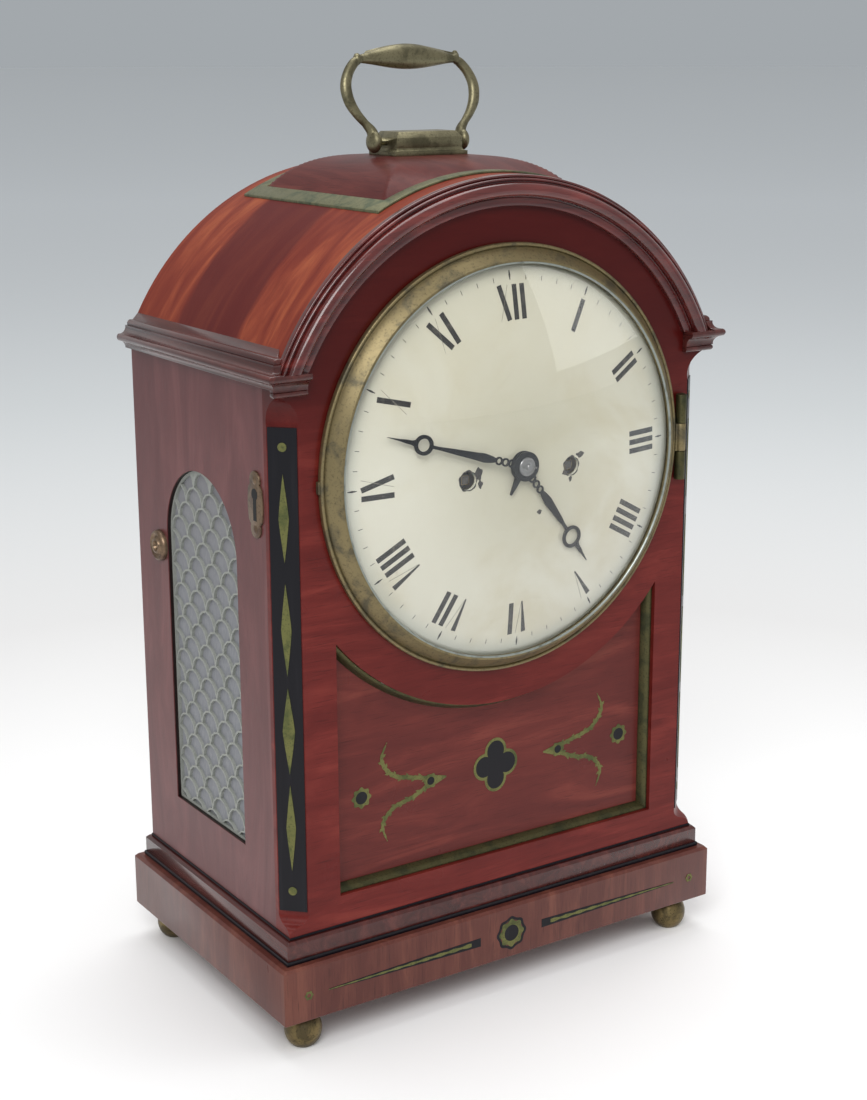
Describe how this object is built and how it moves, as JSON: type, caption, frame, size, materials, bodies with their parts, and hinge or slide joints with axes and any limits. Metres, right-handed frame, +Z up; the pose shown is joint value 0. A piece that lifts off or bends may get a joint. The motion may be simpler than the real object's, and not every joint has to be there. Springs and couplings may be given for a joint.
{
  "type": "bracket clock",
  "caption": "Arched mahogany bracket clock with brass inlay, pierced side frets, a hinged bezel over a painted dial, a carrying handle and a fusee movement behind a glazed rear door.",
  "frame": {"origin": "on the floor, below the centre of the overall box", "axes": "+Z up, the dial faces -Y, +X to the right of somebody who looks at the dial"},
  "size_m": [0.2766, 0.1926, 0.4941],
  "materials": {
    "mahogany": "polished, deep red-brown, slightly worn",
    "side_veneer": "polished, greyed purple-brown",
    "banded_veneer": "polished, orange-brown with darker bands",
    "ebony": "satin black",
    "lacquered_brass": "polished with age patina",
    "fret_brass": "pale, pierced and lacquered",
    "movement_brass": "brushed",
    "polished_steel": "fine polished",
    "blued_steel": "polished, heat blued",
    "painted_iron": "satin cream enamel paint",
    "clear_glass": "clear",
    "silk": "woven, matt",
    "inner_oak": "plain oiled",
    "bell_bronze": "turned bell metal"
  },
  "bodies": {
    "case": {"base_plinth": "mahogany", "step_moulding": "mahogany", "feet": "lacquered_brass", "front_board": "mahogany", "sunk_panel": "mahogany", "panel_slip": "lacquered_brass", "corner_post_right": "mahogany", "corner_post_left": "mahogany", "corner_strips": "ebony", "corner_inlays": "lacquered_brass", "side_board_right": "side_veneer", "side_board_left": "side_veneer", "fret_right": "fret_brass", "fret_left": "fret_brass", "fret_cloth_right": "silk", "fret_cloth_left": "silk", "vault": "banded_veneer", "cornice_right": "mahogany", "cornice_left": "mahogany", "hood_moulding": "mahogany", "pad_top": "mahogany", "pad_border": "lacquered_brass", "handle_base": "lacquered_brass", "back_frame": "mahogany", "rear_hinge_plates": "lacquered_brass", "left_brasses": "lacquered_brass", "bezel_hinge": "lacquered_brass", "dial": "painted_iron", "front_plate": "movement_brass", "back_plate": "movement_brass", "pillars": "movement_brass", "seat_board": "inner_oak", "back_cock": "movement_brass", "bell": "bell_bronze", "bell_stand": "movement_brass"},
    "bezel": {"bezel": "lacquered_brass", "bezel_glass": "clear_glass"},
    "rear_door": {"rear_door": "mahogany", "rear_pane": "clear_glass", "rear_door_fittings": "lacquered_brass"},
    "handle": {"handle": "lacquered_brass"},
    "centre_arbor": {"centre_arbor": "movement_brass", "minute_hand": "blued_steel", "hand_collet": "polished_steel"},
    "hour_wheel": {"hour_wheel": "movement_brass", "hour_hand": "blued_steel"},
    "minute_wheel": {"minute_wheel": "movement_brass"},
    "going_fusee": {"going_fusee": "movement_brass"},
    "going_barrel": {"going_barrel": "movement_brass"},
    "third_wheel": {"third_wheel": "movement_brass"},
    "escape_wheel": {"escape_wheel": "movement_brass"},
    "strike_fusee": {"strike_fusee": "movement_brass"},
    "strike_barrel": {"strike_barrel": "movement_brass"},
    "pin_wheel": {"pin_wheel": "movement_brass"},
    "hammer": {"hammer": "polished_steel"},
    "pallets": {"pallets": "polished_steel"},
    "pendulum": {"pendulum": "movement_brass"}
  },
  "joints": [
    {"name": "bezel_hinge", "type": "hinge", "parent": "case", "child": "bezel", "pos_m": [0.1125, -0.07383, 0.29], "axis": [0, 0, 1], "range_deg": [0, 110]},
    {"name": "rear_door_hinge", "type": "hinge", "parent": "case", "child": "rear_door", "pos_m": [0.098, 0.09033, 0.22], "axis": [0, 0, -1], "range_deg": [0, 110]},
    {"name": "handle_swing", "type": "hinge", "parent": "case", "child": "handle", "pos_m": [0, 0.00873, 0.445], "axis": [1, 0, 0], "range_deg": [-80, 108]},
    {"name": "minute_hand_turn", "type": "hinge", "parent": "case", "child": "centre_arbor", "pos_m": [0, -0.03, 0.29], "axis": [0, 1, 0], "continuous": true},
    {"name": "hour_hand_turn", "type": "hinge", "parent": "case", "child": "hour_wheel", "pos_m": [0, -0.03, 0.29], "axis": [0, 1, 0], "continuous": true},
    {"name": "minute_wheel_turn", "type": "hinge", "parent": "case", "child": "minute_wheel", "pos_m": [-0.009, -0.06, 0.302], "axis": [0, 1, 0], "continuous": true},
    {"name": "going_fusee_turn", "type": "hinge", "parent": "case", "child": "going_fusee", "pos_m": [0.0316, -0.03, 0.2857], "axis": [0, 1, 0], "continuous": true},
    {"name": "going_barrel_turn", "type": "hinge", "parent": "case", "child": "going_barrel", "pos_m": [0.037, -0.03, 0.236], "axis": [0, 1, 0], "continuous": true},
    {"name": "third_wheel_turn", "type": "hinge", "parent": "case", "child": "third_wheel", "pos_m": [0, -0.03, 0.314], "axis": [0, 1, 0], "continuous": true},
    {"name": "escape_wheel_turn", "type": "hinge", "parent": "case", "child": "escape_wheel", "pos_m": [0, -0.03, 0.332], "axis": [0, 1, 0], "continuous": true},
    {"name": "strike_fusee_turn", "type": "hinge", "parent": "case", "child": "strike_fusee", "pos_m": [-0.0316, -0.03, 0.2857], "axis": [0, 1, 0], "continuous": true},
    {"name": "strike_barrel_turn", "type": "hinge", "parent": "case", "child": "strike_barrel", "pos_m": [-0.037, -0.03, 0.236], "axis": [0, 1, 0], "continuous": true},
    {"name": "pin_wheel_turn", "type": "hinge", "parent": "case", "child": "pin_wheel", "pos_m": [-0.04355, -0.03, 0.31527], "axis": [0, 1, 0], "continuous": true},
    {"name": "hammer_lift", "type": "hinge", "parent": "case", "child": "hammer", "pos_m": [0.034, -0.03, 0.348], "axis": [0, 1, 0], "range_deg": [0, 12]},
    {"name": "pendulum_swing", "type": "hinge", "parent": "case", "child": "pendulum", "pos_m": [0, 0.01, 0.3495], "axis": [0, 1, 0], "range_deg": [-3, 3]},
    {"name": "anchor_rock", "type": "hinge", "parent": "case", "child": "pallets", "pos_m": [0, -0.03, 0.3495], "axis": [0, 1, 0], "range_deg": [-3, 3]}
  ],
  "couplings": [
    {"joint": "hour_hand_turn", "follows": "minute_hand_turn", "ratio": 0.083333},
    {"joint": "minute_wheel_turn", "follows": "minute_hand_turn", "ratio": -0.5},
    {"joint": "going_fusee_turn", "follows": "minute_hand_turn", "ratio": -0.25},
    {"joint": "going_barrel_turn", "follows": "minute_hand_turn", "ratio": -0.20833},
    {"joint": "third_wheel_turn", "follows": "minute_hand_turn", "ratio": -3.75},
    {"joint": "escape_wheel_turn", "follows": "minute_hand_turn", "ratio": 18.75},
    {"joint": "strike_barrel_turn", "follows": "strike_fusee_turn", "ratio": 0.83333},
    {"joint": "pin_wheel_turn", "follows": "strike_fusee_turn", "ratio": -4},
    {"joint": "anchor_rock", "follows": "pendulum_swing", "ratio": 1}
  ]
}
